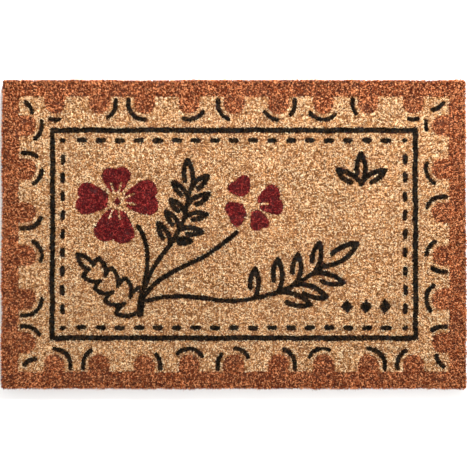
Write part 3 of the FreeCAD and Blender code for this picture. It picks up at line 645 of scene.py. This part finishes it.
def make_pile():
    """The standing fibres, as pieces by dye and then by place along the mat."""
    root, tip, width, tone, dye = pile_fibres()
    for index, node in enumerate(PILE_NODES):
        members = np.nonzero(dye == index)[0]
        members = members[np.argsort(tip[members, 0], kind="stable")]
        pieces = math.ceil(len(members) / MOST_FIBRES)
        for number, part in enumerate(np.array_split(members, pieces), 1):
            name = node.replace("pile", "tufts")
            name = f"{name}_{number}" if pieces > 1 else name
            slot = PILE_SLOTS[node]
            straight_fibres(name, root[part], tip[part], width[part], tone[part], slot, node)


def fringe_fibres():
    """Share of the outline, root, middle, tip, width and tone of every fibre of the sides."""
    count = int(OUTLINE_LENGTH * FRINGE_PER_METRE)
    places = (np.arange(count) + rng.uniform(0, 1, count)) / count
    edge, out = outline(places)
    sideways = stack(-out[:, 1], out[:, 0])
    wander = trim_wander(edge[:, 0], edge[:, 1])
    height = rng.uniform(0, 1, count) ** 0.85
    lowest = 7 * MM
    rounding = 5 * MM  # of the top edge, downwards
    tip_z = lowest + height * (TOP - lowest - 1.5 * MM)
    nap = 3.0 * MM * np.clip((tip_z - (TOP - rounding)) / rounding, 0, 1) ** 2
    belly = 1.2 * MM * np.sin(math.pi * height)
    tuft = speckle(places * OUTLINE_LENGTH, 0 * places, 3.2 * MM, 43)
    reach = wander + belly - nap + 1.2 * MM * tuft - rng.exponential(1.1 * MM, count)
    stray = rng.uniform(0, 1, count) < 0.1
    reach = np.where(stray, reach + rng.uniform(0.5, 3.5, count) * MM, reach)
    drift = rng.normal(0, 2.2 * MM, count)
    tip_xy = edge + out * reach[:, None] + sideways * drift[:, None]
    root_xy = edge - out * rng.uniform(9, 15, count)[:, None] * MM
    root_z = np.minimum(FOOT + rng.uniform(1, 8, count) * MM, tip_z + 4 * MM)
    middle_xy = edge - out * rng.uniform(2.5, 6, count)[:, None] * MM
    middle_xy = middle_xy + sideways * (drift * 0.3)[:, None]
    middle_z = (root_z + tip_z) / 2 + rng.uniform(-1, 4, count) * MM
    root = np.column_stack([root_xy, root_z])
    middle = np.column_stack([middle_xy, np.minimum(middle_z, TOP - 2 * MM)])
    tip = np.column_stack([tip_xy, tip_z])
    tone = 0.45 + 0.2 * rng.normal(0, 1, count) + 0.15 * wavy(places * 3, tip_z, 5 * MM, 41)
    tone = np.clip(tone, 0.02, 0.98)
    width = FRINGE_WIDTH * rng.uniform(0.7, 1.3, count)
    return places, root, middle, tip, width, tone


def make_fringe():
    """Bent fibres that lean out of the four trimmed sides and hide the braids from above."""
    places, root, middle, tip, width, tone = fringe_fibres()
    corner_shares = np.cumsum([HALF[0], HALF[1], HALF[0], HALF[1]]) / (2 * HALF.sum())
    side = np.searchsorted(corner_shares, places)
    for index, name in enumerate(SIDES):
        members = np.nonzero(side == index)[0]
        bent_fibres(
            f"border_fringe_{name}",
            root[members],
            middle[members],
            tip[members],
            width[members],
            tone[members],
            "coir_brown",
            "border_pile",
        )


def make_core():
    """The dense lower part of the pile, painted dark as the shade between the fibres, one closed
    block.
    """
    reach = HALF - CORE_INSET
    x = np.linspace(-reach[0], reach[0], 306)
    y = np.linspace(-reach[1], reach[1], 204)
    px, py = (grid.ravel() for grid in np.meshgrid(x, y, indexing="ij"))
    edge = np.minimum(reach[0] - np.abs(px), reach[1] - np.abs(py))
    bumps = 1.6 * MM * wavy(px, py, 6 * MM, 51)
    shoulder = 6 * MM * np.clip(1 - edge / (8 * MM), 0, 1) ** 2
    upper = stack(px, py, TOP - CORE_DROP + bumps - shoulder)
    lower = stack(px, py, FOOT + 0.3 * MM)
    rows, columns = len(x), len(y)
    i, j = np.meshgrid(np.arange(rows - 1), np.arange(columns - 1), indexing="ij")
    a = (i * columns + j).ravel()
    b = a + columns
    c = b + 1
    d = a + 1
    roof = np.concatenate([np.stack([a, b, c], -1), np.stack([a, c, d], -1)])
    floor = roof[:, ::-1] + rows * columns
    rim = np.concatenate([
        np.arange(rows) * columns,
        (rows - 1) * columns + np.arange(1, columns),
        np.arange(rows - 2, -1, -1) * columns + columns - 1,
        np.arange(columns - 2, 0, -1),
    ])
    following = np.roll(rim, -1)
    under = rows * columns
    walls = np.concatenate([
        np.stack([rim, rim + under, following + under], -1),
        np.stack([rim, following + under, following], -1),
    ])
    points = np.concatenate([upper, lower])
    triangles = np.concatenate([roof, floor, walls])
    uv = np.tile(stack((px / HALF[0] + 1) / 2, (py / HALF[1] + 1) / 2), (2, 1))
    dye = dye_at(px, py)
    level = np.array([CORE_LEVELS[PILE_SLOTS[name]] for name in PILE_NODES])[dye]
    values = {"dye": np.tile(level, 2)}
    return build("pile_core", points, triangles, values, uv, "pile_core", *PILE_NODES)


# ---- backing ----------------------------------------------------------------------------------


def two_ply(spine, radius, twist):
    """Two strands wound round each other along a spine, each about half as thick as the yarn."""
    spine = np.asarray(spine)
    run = np.concatenate([[0], np.cumsum(np.linalg.norm(np.diff(spine, axis=0), axis=1))])
    way = unit(np.gradient(spine, axis=0))
    guide = np.array([0.0, 0.0, 1.0]) if abs(way[0][2]) < 0.8 else np.array([1.0, 0.0, 0.0])
    first = unit(np.cross(way, guide))
    second = np.cross(way, first)
    strands = []
    for phase in (0, math.pi):
        angle = (2 * math.pi * run / twist + phase)[:, None]
        strands.append(spine + radius * 0.46 * (np.cos(angle) * first + np.sin(angle) * second))
    return strands


def make_wefts():
    """Two-ply yarns across the mat, where the CAD model has plain round ones."""
    yarn_low, yarn_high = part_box("weft_yarns")
    radius = (yarn_high.z - yarn_low.z) / 2
    height = (yarn_high.z + yarn_low.z) / 2
    y = np.arange(yarn_low.y, yarn_high.y, 4 * MM)
    strands = []
    for x in weft_lines():
        strands += two_ply(stack(x, y, height), radius, 15 * MM)
    half = len(strands) // 2
    tubes("weft_yarns_left", strands[:half], radius * 0.53, 6, "coir_yarn", "weft_yarns")
    tubes("weft_yarns_right", strands[half:], radius * 0.53, 6, "coir_yarn", "weft_yarns")


def make_chains():
    """Two-ply yarns along the mat, over one weft and under the next."""
    lines = weft_lines()
    step = lines[1] - lines[0]
    for node, side in (("chain_yarns_odd", 1), ("chain_yarns_even", -1)):
        yarn_low, yarn_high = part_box(node)
        height = (yarn_high.z + yarn_low.z) / 2
        radius = 1.5 * MM
        swing = (yarn_high.z - yarn_low.z) / 2 - radius
        x = np.arange(yarn_low.x + radius, yarn_high.x - radius, step / 6)
        z = height + side * swing * np.cos(math.pi * (x - lines[0]) / step)
        strands = []
        for y in chain_lines(node):
            strands += two_ply(stack(x, y, z), radius, 12 * MM)
        tubes(f"{node}_twisted", strands, radius * 0.53, 6, "coir_yarn", node)


def chain_lines(node):
    """Where the yarns of one set lie, along Y."""
    return middles(np.round(node_points(node)[:, 1], 4), 5 * MM)


def make_braids():
    """Flat three-strand plaits round the backing's four sides."""
    for name in ("front", "back", "left", "right"):
        braid_low, braid_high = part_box(f"edge_braid_{name}")
        middle = (braid_low + braid_high) / 2
        size = braid_high - braid_low
        lengthwise = size.x > size.y
        length = size.x if lengthwise else size.y
        width = size.y if lengthwise else size.x
        radius = size.z * 0.27
        run = np.arange(-length / 2 + radius, length / 2 - radius, 2.5 * MM)
        strands = []
        for phase in range(3):
            angle = 2 * math.pi * (run / (34 * MM) + phase / 3)
            across = (width / 2 - radius) * np.sin(angle)
            height = middle.z + (size.z / 2 - radius) * np.sin(2 * angle)
            if lengthwise:
                strands.append(stack(middle.x + run, middle.y + across, height))
            else:
                strands.append(stack(middle.x + across, middle.y + run, height))
        tubes(f"edge_braid_{name}_plait", strands, radius, 10, "coir_braid", f"edge_braid_{name}")


def make_stitches():
    """Twine loops that sew each braid to the backing."""
    for name in ("front", "back", "left", "right"):
        node = f"edge_stitches_{name}"
        lengthwise = name in ("front", "back")
        along = middles(np.round(node_points(node)[:, 0 if lengthwise else 1], 5), 3 * MM)
        box_low, box_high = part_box(node)
        radius = 0.75 * MM
        across_low = (box_low.y if lengthwise else box_low.x) + radius
        across_high = (box_high.y if lengthwise else box_high.x) - radius
        low_z = box_low.z + radius
        high_z = box_high.z - radius
        middle_a = (across_low + across_high) / 2
        middle_z = (low_z + high_z) / 2
        half_a = (across_high - across_low) / 2
        half_z = (high_z - low_z) / 2
        angle = np.linspace(0, 2 * math.pi, 28, endpoint=False)
        power = 0.45
        a = middle_a + half_a * np.sign(np.cos(angle)) * np.abs(np.cos(angle)) ** power
        z = middle_z + half_z * np.sign(np.sin(angle)) * np.abs(np.sin(angle)) ** power
        paths = []
        for place in along:
            paths.append(stack(place, a, z) if lengthwise else stack(a, place, z))
        tubes(f"{node}_twine", paths, radius, 6, "twine", node, closed=True)


# ---- studio -----------------------------------------------------------------------------------


def make_lights():
    """A pale sky and two large soft lamps."""
    world = bpy.data.worlds.new("studio")
    world.use_nodes = True
    background = world.node_tree.nodes["Background"]
    background.inputs["Color"].default_value = (1.0, 0.99, 0.97, 1)
    background.inputs["Strength"].default_value = 0.8
    bpy.context.scene.world = world
    lamps = (("key", (0.35, 1.6, 1.7), 0.8, 150), ("fill", (0.9, -1.0, 2.2), 1.8, 30))
    for name, place, size, energy in lamps:
        lamp = bpy.data.lights.new(name, "AREA")
        lamp.shape = "SQUARE"
        lamp.size = size
        lamp.energy = energy
        lamp_object = bpy.data.objects.new(name, lamp)
        lamp_object.location = place
        lamp_object.rotation_euler = (-Vector(place)).to_track_quat("-Z", "Y").to_euler()
        bpy.context.scene.collection.objects.link(lamp_object)


def make_floor():
    """A plain pale floor."""
    mesh = bpy.data.meshes.new("floor")
    reach = 6.0
    corners = [(-reach, -reach, 0), (reach, -reach, 0), (reach, reach, 0), (-reach, reach, 0)]
    mesh.from_pydata(corners, [], [(0, 1, 2, 3)])
    material = bpy.data.materials.new("floor")
    material.use_nodes = True
    shader = material.node_tree.nodes["Principled BSDF"]
    shader.inputs["Base Color"].default_value = (0.93, 0.93, 0.93, 1)
    shader.inputs["Roughness"].default_value = 0.9
    mesh.materials.append(material)
    floor = bpy.data.objects.new("floor", mesh)
    bpy.context.scene.collection.objects.link(floor)


def make_camera():
    """A long lens from nearly straight above, a touch towards the front."""
    camera = bpy.data.cameras.new("camera")
    camera.sensor_fit = "HORIZONTAL"
    camera.sensor_width = 36
    distance = 2.6
    tilt = math.radians(1.0)
    picture_width = 0.9095  # at the height of the pile's top
    camera.lens = camera.sensor_width * (distance - TOP) / picture_width
    camera.clip_end = 50
    holder = bpy.data.objects.new("camera", camera)
    aim = Vector((2.2 * MM, -2.0 * MM, TOP))
    holder.location = aim + distance * Vector((0, -math.sin(tilt), math.cos(tilt)))
    holder.rotation_euler = (tilt, 0, 0)
    bpy.context.scene.collection.objects.link(holder)
    bpy.context.scene.camera = holder
    bpy.context.scene.view_settings.view_transform = "Standard"


core_material()
dye_materials()
yarn_materials()
make_pile()
make_fringe()
make_core()
make_wefts()
make_chains()
make_braids()
make_stitches()
make_lights()
make_floor()
make_camera()
